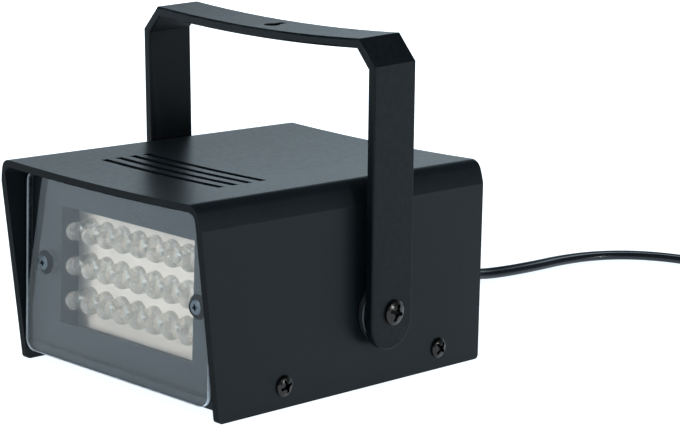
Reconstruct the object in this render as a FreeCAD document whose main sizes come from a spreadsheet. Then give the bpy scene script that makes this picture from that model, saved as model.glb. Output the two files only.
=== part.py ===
import FreeCAD, Part
import math
import os
import Sketcher

# Small mains-powered LED strobe light: folded cover with side wings, tray
# chassis, clear front plate, 24 LED board, driver board, rear speed control,
# tilting bow handle and flat two-core lead.
# Frame: +Z up, front faces -Y, z = 0 is the surface the cover's walls stand on.

V = FreeCAD.Vector
os.makedirs("parts", exist_ok=True)
doc = FreeCAD.newDocument("led_strobe")

# ---------------------------------------------------------------- sheet
sheet = doc.addObject("Spreadsheet::Sheet", "dims")
ROWS = [
    # cover
    ("shift_y", -6.7), ("half_w", 38.7), ("wall", 2.0), ("top_z", 55.0), ("sag", 0.65),
    ("crease_z", 6.2), ("soft_x", 1.15), ("soft_z", 2.1), ("round_x", 4.2), ("inner_r", 2.2),
    ("front_y", -51.2), ("front_foot", -43.1), ("rear_y", 51.2), ("rear_foot", 52.6),
    ("vent_y", -29.3), ("vent_step", 4.8), ("vent_half", 22.6), ("vent_w", 2.2),
    # side fasteners
    ("screw_z", 5.9), ("screw_yf", -21.35), ("screw_yr", 36.0), ("screw_hole_r", 1.7),
    ("pan_r", 2.7), ("pan_t", 1.3), ("thread_r", 1.15),
    # pivot
    ("pivot_y", 12.8), ("pivot_z", 20.3), ("pivot_hole_r", 2.15), ("pivot_shank_r", 2.0),
    ("pivot_head_r", 3.3), ("pivot_head_t", 1.35), ("disc_r", 8.6), ("disc_t", 1.8), ("disc_gap", 2.1),
    # handle
    ("bow_w", 15.0), ("bow_t", 2.5), ("bow_in", 40.8), ("bow_out", 43.3), ("bow_splay", 0.6),
    ("bow_knee", 63.9), ("bow_top", 70.5), ("bow_top_x", 38.2), ("bow_sag", 1.4), ("bow_tail", 10.6),
    ("bow_tilt", 2.44), ("bow_hole_r", 2.06), ("bow_off_y", 0.715), ("bow_off_z", 0.831), ("key_r", 2.1), ("key_w", 2.2), ("key_len", 4.6),
    # chassis
    ("tray_half", 36.4), ("tray_low", 2.65), ("tray_t", 2.75), ("tray_top", 51.9),
    ("panel_y", -40.4), ("panel_t", 2.0), ("back_y", 48.6), ("back_t", 2.0),
    ("win_left", 24.9), ("win_right", 26.45), ("win_low", 12.4), ("win_high", 43.4),
    ("pot_x", 16.0), ("pot_z", 27.0), ("pot_hole_r", 3.6), ("lead_x", -16.0), ("lead_z", 15.0), ("lead_hole_r", 4.1),
    ("post_h", 5.0), ("post_x", 24.0), ("post_yf", -14.0), ("post_yr", 30.0),
    # front plate
    ("plate_half", 35.6), ("plate_low", 3.4), ("plate_high", 51.8), ("plate_y", -44.4), ("plate_t", 2.0),
    ("plate_r", 3.2), ("plate_screw_l", 28.95), ("plate_screw_r", 30.35), ("plate_screw_z", 27.9), ("boss_r", 3.2),
    # LED board
    ("led_r", 2.5), ("led_flange_r", 2.9), ("led_flange_t", 1.0), ("led_len", 8.4),
    ("led_x0", 0.0), ("led_px", 6.35), ("led_pz", 9.27), ("led_z", 27.5), ("pcb_t", 1.6),
    ("ledb_y", -32.1), ("ledb_half", 28.0), ("ledb_low", 6.6), ("ledb_high", 48.4),
    ("ledb_sx", 21.0), ("ledb_s_low", 7.9), ("ledb_s_high", 46.0),
    # driver board
    ("drv_half", 28.0), ("drv_yf", -19.0), ("drv_yr", 34.0), ("drv_z", 10.4),
    # lead and plug
    ("lead_w", 4.4), ("coil_mid", 52.0), ("coil_x", 40.0), ("coil_y", 224.0),
    ("plug_w", 35.5), ("plug_h", 13.7), ("plug_l", 30.0), ("pin_r", 2.0), ("pin_l", 19.0), ("pin_gap", 18.6),
]
D = {}
for i, (alias, value) in enumerate(ROWS):
    sheet.set("A%d" % (i + 1), alias)
    sheet.set("B%d" % (i + 1), str(value))
    sheet.setAlias("B%d" % (i + 1), alias)
    D[alias] = value
doc.recompute()

NODES = {}


def keep(obj, label):
    obj.Label = label
    NODES[label] = obj
    return obj


def place(obj, x=0.0, y=0.0, z=0.0, axis=None, angle=0.0, shift=True):
    rot = FreeCAD.Rotation(axis, angle) if axis is not None else FreeCAD.Rotation()
    move = FreeCAD.Placement(V(x, y + (D["shift_y"] if shift else 0.0), z), rot)
    obj.Placement = move.multiply(obj.Placement)


# ---------------------------------------------------------------- PartDesign helpers
def new_body(name):
    body = doc.addObject("PartDesign::Body", name + "_body")
    return body


def origin_plane(body, role):
    return [f for f in body.Origin.OriginFeatures if f.Role == role][0]


def new_sketch(body, name, role, offset=None):
    sk = body.newObject("Sketcher::SketchObject", name)
    sk.AttachmentSupport = (origin_plane(body, role), [""])
    sk.MapMode = "FlatFace"
    if offset is not None:
        sk.setExpression("AttachmentOffset.Base.z", offset)
    return sk


def bind(sk, kind, *args):
    # args end with an expression in terms of the sheet
    expr = args[-1]
    val = eval_expr(expr)
    idx = sk.addConstraint(Sketcher.Constraint(kind, *args[:-1], val))
    sk.setExpression("Constraints[%d]" % idx, expr)
    return idx


def eval_expr(expr):
    # small evaluator for sums and products of sheet cells
    total = 0.0
    text = expr.replace(" ", "").replace("-", "+-")
    for term in text.split("+"):
        if not term:
            continue
        sign = 1.0
        if term.startswith("-"):
            sign, term = -1.0, term[1:]
        val = 1.0
        for k, piece in enumerate(term.replace("/", "*/").split("*")):
            inv = piece.startswith("/")
            piece = piece.lstrip("/")
            num = D[piece[5:]] if piece.startswith("dims.") else float(piece)
            val = val / num if inv else val * num
        total += sign * val
    return total


def rect(sk, x0, x1, y0, y1):
    a, b, c, d = (eval_expr(e) for e in (x0, x1, y0, y1))
    n = sk.GeometryCount
    sk.addGeometry([Part.LineSegment(V(a, c, 0), V(b, c, 0)), Part.LineSegment(V(b, c, 0), V(b, d, 0)),
                    Part.LineSegment(V(b, d, 0), V(a, d, 0)), Part.LineSegment(V(a, d, 0), V(a, c, 0))], False)
    for k in range(4):
        sk.addConstraint(Sketcher.Constraint("Coincident", n + k, 2, n + (k + 1) % 4, 1))
    sk.addConstraint([Sketcher.Constraint("Horizontal", n), Sketcher.Constraint("Vertical", n + 1),
                      Sketcher.Constraint("Horizontal", n + 2), Sketcher.Constraint("Vertical", n + 3)])
    bind(sk, "DistanceX", -1, 1, n, 1, x0)
    bind(sk, "DistanceX", -1, 1, n + 1, 1, x1)
    bind(sk, "DistanceY", -1, 1, n, 1, y0)
    bind(sk, "DistanceY", -1, 1, n + 2, 1, y1)


def circle(sk, x, y, r):
    n = sk.GeometryCount
    sk.addGeometry(Part.Circle(V(eval_expr(x), eval_expr(y), 0), V(0, 0, 1), eval_expr(r)), False)
    bind(sk, "DistanceX", -1, 1, n, 3, x)
    bind(sk, "DistanceY", -1, 1, n, 3, y)
    bind(sk, "Radius", n, r)


def chain(sk, pts, arcs=()):
    # closed outline; pts are (x expression, y expression); arcs maps a side's
    # index to a point on its arc, given as two expressions
    n = sk.GeometryCount
    xy = [(eval_expr(a), eval_expr(b)) for a, b in pts]
    arcs = dict(arcs)
    cnt = len(pts)
    ends = []
    for k in range(cnt):
        p, q = xy[k], xy[(k + 1) % cnt]
        if k in arcs:
            mx, my = (eval_expr(e) for e in arcs[k])
            arc = Part.Circle(V(p[0], p[1], 0), V(mx, my, 0), V(q[0], q[1], 0))
            circ = arc.Center
            # the sketch stores arcs counter-clockwise
            clockwise = ((mx - p[0]) * (q[1] - p[1]) - (my - p[1]) * (q[0] - p[0])) < 0
            a0 = math.atan2(p[1] - circ.y, p[0] - circ.x)
            a1 = math.atan2(q[1] - circ.y, q[0] - circ.x)
            if clockwise:
                a0, a1 = a1, a0
                ends.append((2, 1))
            else:
                ends.append((1, 2))
            sk.addGeometry(Part.ArcOfCircle(Part.Circle(V(circ.x, circ.y, 0), V(0, 0, 1), arc.Radius), a0, a1), False)
        else:
            sk.addGeometry(Part.LineSegment(V(p[0], p[1], 0), V(q[0], q[1], 0)), False)
            ends.append((1, 2))
    for k in range(cnt):
        j = (k + 1) % cnt
        sk.addConstraint(Sketcher.Constraint("Coincident", n + k, ends[k][1], n + j, ends[j][0]))
    for k in range(cnt):
        bind(sk, "DistanceX", -1, 1, n + k, ends[k][0], pts[k][0])
        bind(sk, "DistanceY", -1, 1, n + k, ends[k][0], pts[k][1])
    for k in arcs:
        # radius keeps each arc's bulge
        g = sk.Geometry[n + k]
        sk.addConstraint(Sketcher.Constraint("Radius", n + k, g.Radius))


def pad(body, name, sk, length, midplane=False, reverse=False):
    f = body.newObject("PartDesign::Pad", name)
    f.Profile = sk
    f.setExpression("Length", length)
    f.Midplane = midplane
    f.Reversed = reverse
    sk.Visibility = False
    doc.recompute()
    return f


def pocket(body, name, sk, length=None, midplane=False, reverse=False):
    before = body.Shape.Volume
    f = body.newObject("PartDesign::Pocket", name)
    f.Profile = sk
    if length is None:
        f.Type = 1
    else:
        f.setExpression("Length", length)
    f.Midplane = midplane
    f.Reversed = reverse
    sk.Visibility = False
    doc.recompute()
    after = body.Shape.Volume
    if abs(before - after) < 1e-3:
        raise RuntimeError("pocket removed nothing: " + name)
    return f


# ---------------------------------------------------------------- Part helpers
def box(name, lx, ly, lz, x, y, z):
    b = doc.addObject("Part::Box", name)
    for prop, expr in (("Length", lx), ("Width", ly), ("Height", lz)):
        if isinstance(expr, str):
            b.setExpression(prop, expr)
        else:
            setattr(b, prop, expr)
    b.Placement = FreeCAD.Placement(V(x, y, z), FreeCAD.Rotation())
    return b


AX = {"x": FreeCAD.Rotation(V(0, 1, 0), 90), "-x": FreeCAD.Rotation(V(0, 1, 0), -90),
      "y": FreeCAD.Rotation(V(1, 0, 0), -90), "-y": FreeCAD.Rotation(V(1, 0, 0), 90),
      "z": FreeCAD.Rotation(), "-z": FreeCAD.Rotation(V(1, 0, 0), 180)}


def cyl(name, r, h, x, y, z, axis="z"):
    c = doc.addObject("Part::Cylinder", name)
    for prop, expr in (("Radius", r), ("Height", h)):
        if isinstance(expr, str):
            c.setExpression(prop, expr)
        else:
            setattr(c, prop, expr)
    c.Placement = FreeCAD.Placement(V(x, y, z), AX[axis])
    return c


def cone(name, r1, r2, h, x, y, z, axis="z"):
    c = doc.addObject("Part::Cone", name)
    c.Radius1, c.Radius2, c.Height = r1, r2, h
    c.Placement = FreeCAD.Placement(V(x, y, z), AX[axis])
    return c


def fuse(name, items):
    f = doc.addObject("Part::MultiFuse", name)
    f.Shapes = items
    f.Refine = True
    return f


def cut(name, base, tool):
    f = doc.addObject("Part::Cut", name)
    f.Base, f.Tool = base, tool
    return f


def common(name, items):
    f = doc.addObject("Part::MultiCommon", name)
    f.Shapes = items
    return f


def feature(name, shape):
    f = doc.addObject("Part::Feature", name)
    f.Shape = shape
    return f


def group_of(label, shapes):
    # a node that is a set of separate solids
    return keep(feature(label, Part.makeCompound(shapes)), label)


def c_shape(r, length, x, y, z, d):
    return Part.makeCylinder(r, length, V(x, y, z), V(*d))


def route(points, radius, tag, show=True):
    """Straight runs joined by tangent arcs, swept with a round section."""
    pts = [V(*p) for p in points]
    edges = []
    cur = pts[0]
    radii = []
    for i in range(1, len(pts) - 1):
        a, b, c = pts[i - 1], pts[i], pts[i + 1]
        u = (a - b).normalize()
        w = (c - b).normalize()
        turn = math.pi - u.getAngle(w)
        run = min((a - b).Length, (c - b).Length)
        t = 0.45 * run
        r = t / math.tan(turn / 2.0)
        radii.append(r)
        p1 = b + u * t
        p2 = b + w * t
        bis = (u + w).normalize()
        centre = b + bis * (r / math.cos(turn / 2.0))
        mid = centre - bis * r
        edges.append(Part.LineSegment(cur, p1).toShape())
        edges.append(Part.Arc(p1, mid, p2).toShape())
        cur = p2
    edges.append(Part.LineSegment(cur, pts[-1]).toShape())
    wire = Part.Wire(edges)
    d0 = (pts[1] - pts[0]).normalize()
    prof = Part.Wire([Part.Circle(pts[0], d0, radius).toShape()])
    solid = wire.makePipeShell([prof], True, False, 1)
    want = math.pi * radius * radius * wire.Length
    if show:
        print("route %s: length %.1f mm, radii %s, volume ratio %.4f"
              % (tag, wire.Length, [round(r, 1) for r in radii], solid.Volume / want))
    return solid, wire.Length


# ================================================================ top cover
hw, wl, tz, sg = D["half_w"], D["wall"], D["top_z"], D["sag"]
cover = new_body("top_cover")
q = math.sqrt(0.5)
sk = new_sketch(cover, "cover_section", "XZ_Plane")
# flat sides up to a crease, a soft lean-in above it, then the round into the top
chain(sk, [
    ("-dims.half_w", "0"), ("-dims.half_w", "dims.top_z-dims.crease_z"),
    ("-dims.half_w+dims.soft_x", "dims.top_z-dims.soft_z"), ("-dims.half_w+dims.round_x", "dims.top_z"),
    ("dims.half_w-dims.round_x", "dims.top_z"), ("dims.half_w-dims.soft_x", "dims.top_z-dims.soft_z"),
    ("dims.half_w", "dims.top_z-dims.crease_z"), ("dims.half_w", "0"),
    ("dims.half_w-dims.wall", "0"), ("dims.half_w-dims.wall", "dims.top_z-dims.wall-dims.inner_r"),
    ("dims.half_w-dims.wall-dims.inner_r", "dims.top_z-dims.wall"), ("-dims.half_w+dims.wall+dims.inner_r", "dims.top_z-dims.wall"),
    ("-dims.half_w+dims.wall", "dims.top_z-dims.wall-dims.inner_r"), ("-dims.half_w+dims.wall", "0"),
], arcs={
    1: ("-dims.half_w+0.482", "dims.top_z-4.124"),
    2: ("-dims.half_w+2.348", "dims.top_z-0.576"),
    3: ("0", "dims.top_z-dims.sag"),
    4: ("dims.half_w-2.348", "dims.top_z-0.576"),
    5: ("dims.half_w-0.482", "dims.top_z-4.124"),
    9: ("dims.half_w-dims.wall-%.6f*dims.inner_r" % (1.0 - q), "dims.top_z-dims.wall-%.6f*dims.inner_r" % (1.0 - q)),
    10: ("0", "dims.top_z-dims.wall-dims.sag"),
    11: ("-dims.half_w+dims.wall+%.6f*dims.inner_r" % (1.0 - q), "dims.top_z-dims.wall-%.6f*dims.inner_r" % (1.0 - q)),
})
pad(cover, "cover_pad", sk, "2*dims.rear_foot+4", midplane=True)
# slanted front edges of the wings and the rear edges
sk = new_sketch(cover, "cover_front_cut", "YZ_Plane")
chain(sk, [("dims.front_foot-0.9", "-1"), ("dims.front_foot+1.2", "-1"), ("dims.front_foot+1.2", "0"),
           ("dims.front_foot-0.19", "1.3"), ("dims.front_y", "dims.top_z"), ("dims.front_y", "dims.top_z+2"),
           ("-dims.rear_foot-6", "dims.top_z+2"), ("-dims.rear_foot-6", "-1")],
      arcs={2: ("dims.front_foot+0.25", "0.32")})
pocket(cover, "cover_front", sk, midplane=True)
sk = new_sketch(cover, "cover_rear_cut", "YZ_Plane")
chain(sk, [("dims.rear_foot+6", "-1"), ("dims.rear_foot+6", "dims.top_z+2"), ("dims.rear_y", "dims.top_z+2"),
           ("dims.rear_y", "dims.top_z"), ("dims.rear_foot-0.03", "1.2"), ("dims.rear_foot-1.2", "0"), ("dims.rear_foot-1.2", "-1")],
      arcs={4: ("dims.rear_foot-0.36", "0.35")})
pocket(cover, "cover_rear", sk, midplane=True)
sk = new_sketch(cover, "vent_sketch", "XY_Plane", "dims.top_z+1")
for k in range(4):
    y0 = "dims.vent_y+%d*dims.vent_step" % k
    rect(sk, "-dims.vent_half", "dims.vent_half", y0 + "-0.5*dims.vent_w", y0 + "+0.5*dims.vent_w")
pocket(cover, "vents", sk, "dims.wall+3")
sk = new_sketch(cover, "side_holes", "YZ_Plane")
circle(sk, "dims.screw_yf", "dims.screw_z", "dims.screw_hole_r")
circle(sk, "dims.screw_yr", "dims.screw_z", "dims.screw_hole_r")
circle(sk, "dims.pivot_y", "dims.pivot_z", "dims.pivot_hole_r")
pocket(cover, "side_hole_cut", sk, midplane=True)
keep(cover, "top_cover")
place(cover)

# ================================================================ base chassis
base = new_body("base_chassis")
th = D["tray_half"]
sk = new_sketch(base, "floor_sketch", "XY_Plane", "dims.tray_low")
rect(sk, "-dims.tray_half", "dims.tray_half", "dims.plate_y+dims.plate_t", "dims.back_y+dims.back_t")
pad(base, "floor_pad", sk, "dims.tray_t")


def wall_outline(sk):
    chain(sk, [("-dims.tray_half", "dims.tray_low"), ("dims.tray_half", "dims.tray_low"),
               ("dims.tray_half", "dims.tray_top-4"), ("dims.tray_half-4", "dims.tray_top"),
               ("-dims.tray_half+4", "dims.tray_top"), ("-dims.tray_half", "dims.tray_top-4")],
          arcs={2: ("dims.tray_half-1.1716", "dims.tray_top-1.1716"),
                4: ("-dims.tray_half+1.1716", "dims.tray_top-1.1716")})


sk = new_sketch(base, "panel_sketch", "XZ_Plane", "-dims.panel_y-dims.panel_t")
wall_outline(sk)
pad(base, "panel_pad", sk, "dims.panel_t")
sk = new_sketch(base, "back_sketch", "XZ_Plane", "-dims.back_y-dims.back_t")
wall_outline(sk)
pad(base, "back_pad", sk, "dims.back_t")
# bosses that stand off the clear plate
sk = new_sketch(base, "lens_boss_sketch", "XZ_Plane", "-dims.panel_y-0.2")
circle(sk, "-dims.plate_screw_l", "dims.plate_screw_z", "dims.boss_r")
circle(sk, "dims.plate_screw_r", "dims.plate_screw_z", "dims.boss_r")
pad(base, "lens_bosses", sk, "dims.panel_y-dims.plate_y-dims.plate_t+0.2")
# light collar on both sides of the window and posts for the LED board
sk = new_sketch(base, "collar_sketch", "XZ_Plane", "-dims.ledb_y+0.2")
rect(sk, "-dims.ledb_half-1.8", "-dims.ledb_half-0.6", "dims.win_low-1.5", "dims.win_high+1.5")
rect(sk, "dims.ledb_half+0.6", "dims.ledb_half+1.8", "dims.win_low-1.5", "dims.win_high+1.5")
pad(base, "collar", sk, "dims.ledb_y-dims.panel_y-dims.panel_t")
sk = new_sketch(base, "led_post_sketch", "XZ_Plane", "-dims.ledb_y")
for sx in ("-dims.ledb_sx", "dims.ledb_sx"):
    circle(sk, sx, "dims.ledb_s_low", "1.6")
    circle(sk, sx, "dims.ledb_s_high", "1.9")
pad(base, "led_posts", sk, "dims.ledb_y-dims.panel_y-dims.panel_t+0.2")
# posts for the driver board
sk = new_sketch(base, "post_sketch", "XY_Plane", "dims.tray_low+dims.tray_t-0.2")
for sx in ("-dims.post_x", "dims.post_x"):
    circle(sk, sx, "dims.post_yf", "3")
    circle(sk, sx, "dims.post_yr", "3")
pad(base, "posts", sk, "dims.post_h+0.2")
# screw blocks along both sides
sk = new_sketch(base, "block_sketch", "XY_Plane", "dims.tray_low")
for yy in ("dims.screw_yf", "dims.screw_yr"):
    rect(sk, "-dims.tray_half", "-dims.tray_half+9", yy + "-3.5", yy + "+3.5")
    rect(sk, "dims.tray_half-9", "dims.tray_half", yy + "-3.5", yy + "+3.5")
pad(base, "blocks", sk, "6.75")
# window
sk = new_sketch(base, "window_sketch", "XZ_Plane", "-dims.panel_y")
rect(sk, "-dims.win_left", "dims.win_right", "dims.win_low", "dims.win_high")
pocket(base, "window", sk, "dims.panel_t+1")
# pilot holes
sk = new_sketch(base, "lens_pilot_sketch", "XZ_Plane", "-dims.plate_y")
circle(sk, "-dims.plate_screw_l", "dims.plate_screw_z", "0.8")
circle(sk, "dims.plate_screw_r", "dims.plate_screw_z", "0.8")
pocket(base, "lens_pilots", sk, "-dims.plate_y+dims.panel_y+dims.panel_t+0.1")
sk = new_sketch(base, "led_pilot_sketch", "XZ_Plane", "-dims.ledb_y+4.0")
for sx in ("-dims.ledb_sx", "dims.ledb_sx"):
    circle(sk, sx, "dims.ledb_s_low", "0.9")
    circle(sk, sx, "dims.ledb_s_high", "0.9")
pocket(base, "led_pilots", sk, "4.5")
sk = new_sketch(base, "post_pilot_sketch", "XY_Plane", "dims.drv_z+0.5")
for sx in ("-dims.post_x", "dims.post_x"):
    circle(sk, sx, "dims.post_yf", "dims.thread_r")
    circle(sk, sx, "dims.post_yr", "dims.thread_r")
pocket(base, "post_pilots", sk, "5.0")
sk = new_sketch(base, "side_pilot_sketch", "YZ_Plane")
circle(sk, "dims.screw_yf", "dims.screw_z", "dims.thread_r")
circle(sk, "dims.screw_yr", "dims.screw_z", "dims.thread_r")
pocket(base, "side_pilots", sk, midplane=True)
# rear wall holes
sk = new_sketch(base, "back_hole_sketch", "XZ_Plane", "-dims.back_y+1")
circle(sk, "dims.pot_x", "dims.pot_z", "dims.pot_hole_r")
circle(sk, "dims.lead_x", "dims.lead_z", "dims.lead_hole_r")
pocket(base, "back_holes", sk, "dims.back_t+2")
keep(base, "base_chassis")
place(base)

# ================================================================ front plate
lens = new_body("front_lens")
r_ = "dims.plate_r"
k_ = "%.6f*dims.plate_r" % (1.0 - q)
sk = new_sketch(lens, "plate_sketch", "XZ_Plane", "-dims.plate_y-dims.plate_t")
chain(sk, [("-dims.plate_half+" + r_, "dims.plate_low"), ("dims.plate_half-" + r_, "dims.plate_low"),
           ("dims.plate_half", "dims.plate_low+" + r_), ("dims.plate_half", "dims.plate_high-" + r_),
           ("dims.plate_half-" + r_, "dims.plate_high"), ("-dims.plate_half+" + r_, "dims.plate_high"),
           ("-dims.plate_half", "dims.plate_high-" + r_), ("-dims.plate_half", "dims.plate_low+" + r_)],
      arcs={1: ("dims.plate_half-" + k_, "dims.plate_low+" + k_), 3: ("dims.plate_half-" + k_, "dims.plate_high-" + k_),
            5: ("-dims.plate_half+" + k_, "dims.plate_high-" + k_), 7: ("-dims.plate_half+" + k_, "dims.plate_low+" + k_)})
pad(lens, "plate_pad", sk, "dims.plate_t")
sk = new_sketch(lens, "plate_hole_sketch", "XZ_Plane", "-dims.plate_y")
circle(sk, "-dims.plate_screw_l", "dims.plate_screw_z", "1.0")
circle(sk, "dims.plate_screw_r", "dims.plate_screw_z", "1.0")
pocket(lens, "plate_holes", sk, "dims.plate_t")
sk = new_sketch(lens, "plate_bore_sketch", "XZ_Plane", "-dims.plate_y")
circle(sk, "-dims.plate_screw_l", "dims.plate_screw_z", "2.1")
circle(sk, "dims.plate_screw_r", "dims.plate_screw_z", "2.1")
pocket(lens, "plate_bores", sk, "1.0")
keep(lens, "front_lens")
place(lens)


# ================================================================ screws
def pan_screw(head_r, head_t, shank_r, shank_l, cross=True, wall=0.35, reach=1.40):
    """Head underside at the origin, head towards +Z, shank towards -Z."""
    prof = Part.Face(Part.Wire([
        Part.LineSegment(V(0, 0, -shank_l), V(shank_r * 0.35, 0, -shank_l)).toShape(),
        Part.LineSegment(V(shank_r * 0.35, 0, -shank_l), V(shank_r, 0, -shank_l + shank_r)).toShape(),
        Part.LineSegment(V(shank_r, 0, -shank_l + shank_r), V(shank_r, 0, 0)).toShape(),
        Part.LineSegment(V(shank_r, 0, 0), V(head_r, 0, 0)).toShape(),
        Part.LineSegment(V(head_r, 0, 0), V(head_r, 0, head_t * wall)).toShape(),
        Part.Arc(V(head_r, 0, head_t * wall), V(head_r * 0.72, 0, head_t * (wall + 0.5 * (1.0 - wall))), V(0, 0, head_t)).toShape(),
        Part.LineSegment(V(0, 0, head_t), V(0, 0, -shank_l)).toShape(),
    ]))
    solid = prof.revolve(V(0, 0, 0), V(0, 0, 1), 360)
    if cross:
        w, ln, dp = head_r * 0.30, head_r * reach, head_t * 0.8
        mid = head_r * reach * 0.46
        for ang, l_, w_ in ((0, ln, w), (90, ln, w), (45, mid, mid)):
            slot = Part.makeBox(l_, w_, dp + 1, V(-l_ / 2, -w_ / 2, head_t - dp))
            slot.rotate(V(0, 0, 0), V(0, 0, 1), ang)
            solid = solid.cut(slot)
    return solid


def at(shape, x, y, z, axis, spin=0.0):
    s = shape.copy()
    s.rotate(V(0, 0, 0), V(0, 0, 1), spin)
    s.Placement = FreeCAD.Placement(V(x, y, z), AX[axis]).multiply(s.Placement)
    return s


side_screw = pan_screw(D["pan_r"], D["pan_t"], D["thread_r"], 8.0)
screws = []
for sx in (1, -1):
    for n, yy in enumerate((D["screw_yf"], D["screw_yr"])):
        screws.append(at(side_screw, sx * hw, yy, D["screw_z"], "x" if sx > 0 else "-x", 20 + 27 * n))
place(group_of("cover_screws", screws))

lens_screw = pan_screw(1.95, 1.05, 0.8, 4.4, wall=0.75, reach=0.85)
place(group_of("lens_screws", [at(lens_screw, xx, D["plate_y"] + 1.0, D["plate_screw_z"], "-y", 12)
                               for xx in (D["plate_screw_r"], -D["plate_screw_l"])]))

board_screw = pan_screw(2.0, 1.3, 0.9, 5.4)
place(group_of("board_screws", [at(board_screw, sx * D["ledb_sx"], D["ledb_y"] + D["pcb_t"], zz, "y", 30)
                                for sx in (1, -1) for zz in (D["ledb_s_low"], D["ledb_s_high"])]))

driver_screw = pan_screw(2.6, 1.7, D["thread_r"], 5.8)
place(group_of("driver_screws", [at(driver_screw, sx * D["post_x"], yy, D["drv_z"] + D["pcb_t"], "z", 40)
                                 for sx in (1, -1) for yy in (D["post_yf"], D["post_yr"])]))

# ================================================================ pivots
px = D["bow_out"]
pivot_screw = pan_screw(D["pivot_head_r"], D["pivot_head_t"], D["pivot_shank_r"], px - hw + wl + 4.0)
place(group_of("pivot_screws", [at(pivot_screw, sx * (px + 0.2), D["pivot_y"], D["pivot_z"], "x" if sx > 0 else "-x", -18)
                                for sx in (1, -1)]))
discs = []
for sx in (1, -1):
    x0 = sx * (hw + (D["disc_gap"] - D["disc_t"]) / 2.0)
    d = c_shape(D["disc_r"], D["disc_t"], x0, D["pivot_y"], D["pivot_z"], (sx, 0, 0))
    d = d.makeFillet(0.35, [e for e in d.Edges if isinstance(e.Curve, Part.Circle)])
    h = c_shape(D["pivot_shank_r"] + 0.06, 6, x0 - sx * 2, D["pivot_y"], D["pivot_z"], (sx, 0, 0))
    discs.append(d.cut(h))
place(group_of("pivot_washers", discs))
nuts = []
for sx in (1, -1):
    pts = [V(0, 3.9 * math.cos(math.radians(60 * k)), 3.9 * math.sin(math.radians(60 * k))) for k in range(7)]
    hexf = Part.Face(Part.makePolygon(pts))
    n = hexf.extrude(V(3.2, 0, 0))
    n = n.cut(Part.makeCylinder(D["pivot_shank_r"], 6, V(-1, 0, 0), V(1, 0, 0)))
    n.translate(V((hw - wl - 3.2) if sx > 0 else -(hw - wl), D["pivot_y"], D["pivot_z"]))
    nuts.append(n)
place(group_of("pivot_nuts", nuts))

# ================================================================ handle
bow = new_body("handle")
sk = new_sketch(bow, "bow_outline", "XZ_Plane")
ko = "dims.bow_out+dims.bow_splay"
ki = "dims.bow_in+dims.bow_splay"
chain(sk, [
    ("dims.bow_out", "-dims.bow_tail"), (ko, "dims.bow_knee"), ("dims.bow_top_x", "dims.bow_top"),
    ("-dims.bow_top_x", "dims.bow_top"), ("-" + ko.replace("+", "-"), "dims.bow_knee"), ("-dims.bow_out", "-dims.bow_tail"),
    ("-dims.bow_in", "-dims.bow_tail"), ("-" + ki.replace("+", "-"), "dims.bow_knee-0.9"),
    ("-dims.bow_top_x+0.9", "dims.bow_top-dims.bow_t-0.1"), ("dims.bow_top_x-0.9", "dims.bow_top-dims.bow_t-0.1"),
    (ki, "dims.bow_knee-0.9"), ("dims.bow_in", "-dims.bow_tail"),
], arcs={2: ("0", "dims.bow_top-dims.bow_sag"), 8: ("0", "dims.bow_top-dims.bow_sag-dims.bow_t")})
pad(bow, "bow_pad", sk, "dims.bow_w", midplane=True)
# rounded leg ends
sk = new_sketch(bow, "leg_end_sketch", "YZ_Plane")
hb = "0.5*dims.bow_w"
cz = "-dims.bow_tail+0.5*dims.bow_w"
chain(sk, [("-%s-3" % hb, "-dims.bow_tail-2"), (hb + "+3", "-dims.bow_tail-2"), (hb + "+3", cz),
           (hb, cz), ("0", "-dims.bow_tail"), ("-" + hb, cz), ("-%s-3" % hb, cz)],
      arcs={3: ("%.6f*%s" % (q, hb), "%s-%.6f*%s" % (cz, q, hb)), 4: ("-%.6f*%s" % (q, hb), "%s-%.6f*%s" % (cz, q, hb))})
pocket(bow, "leg_ends", sk, midplane=True)
sk = new_sketch(bow, "bow_hole_sketch", "YZ_Plane")
circle(sk, "dims.bow_off_y", "-dims.bow_off_z", "dims.bow_hole_r")
pocket(bow, "bow_holes", sk, midplane=True)
# keyhole for hanging
sk = new_sketch(bow, "key_round_sketch", "XY_Plane", "dims.bow_top+1")
circle(sk, "0", "-0.9", "dims.key_r")
pocket(bow, "key_round", sk, "dims.bow_t+4")
sk = new_sketch(bow, "key_slot_sketch", "XY_Plane", "dims.bow_top+1")
rect(sk, "-0.5*dims.key_w", "0.5*dims.key_w", "-0.9", "-0.9+dims.key_len")
pocket(bow, "key_slot", sk, "dims.bow_t+4")
# softened long edges
before_fillet = bow.Tip
pick = []
for n, e in enumerate(bow.Shape.Edges):
    ys = [v.Point.y for v in e.Vertexes]
    same = all(abs(abs(y) - D["bow_w"] / 2.0) < 1e-4 for y in ys) and abs(ys[0] - ys[-1]) < 1e-4
    if same and len(ys) == 2 and e.Length > 3.0:
        pick.append("Edge%d" % (n + 1))
fil = bow.newObject("PartDesign::Fillet", "bow_edges")
fil.Base = (before_fillet, pick)
fil.Radius = 0.5
doc.recompute()
if "Invalid" in fil.State or "Error" in fil.State or not bow.Shape.isValid():
    doc.removeObject(fil.Name)
    bow.Tip = before_fillet
    doc.recompute()
    print("bow edges left square")
keep(bow, "handle")
bow.Placement = FreeCAD.Placement(V(0, -D["bow_off_y"], D["bow_off_z"]), FreeCAD.Rotation())
place(bow, 0, D["pivot_y"], D["pivot_z"], V(1, 0, 0), D["bow_tilt"])

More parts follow.
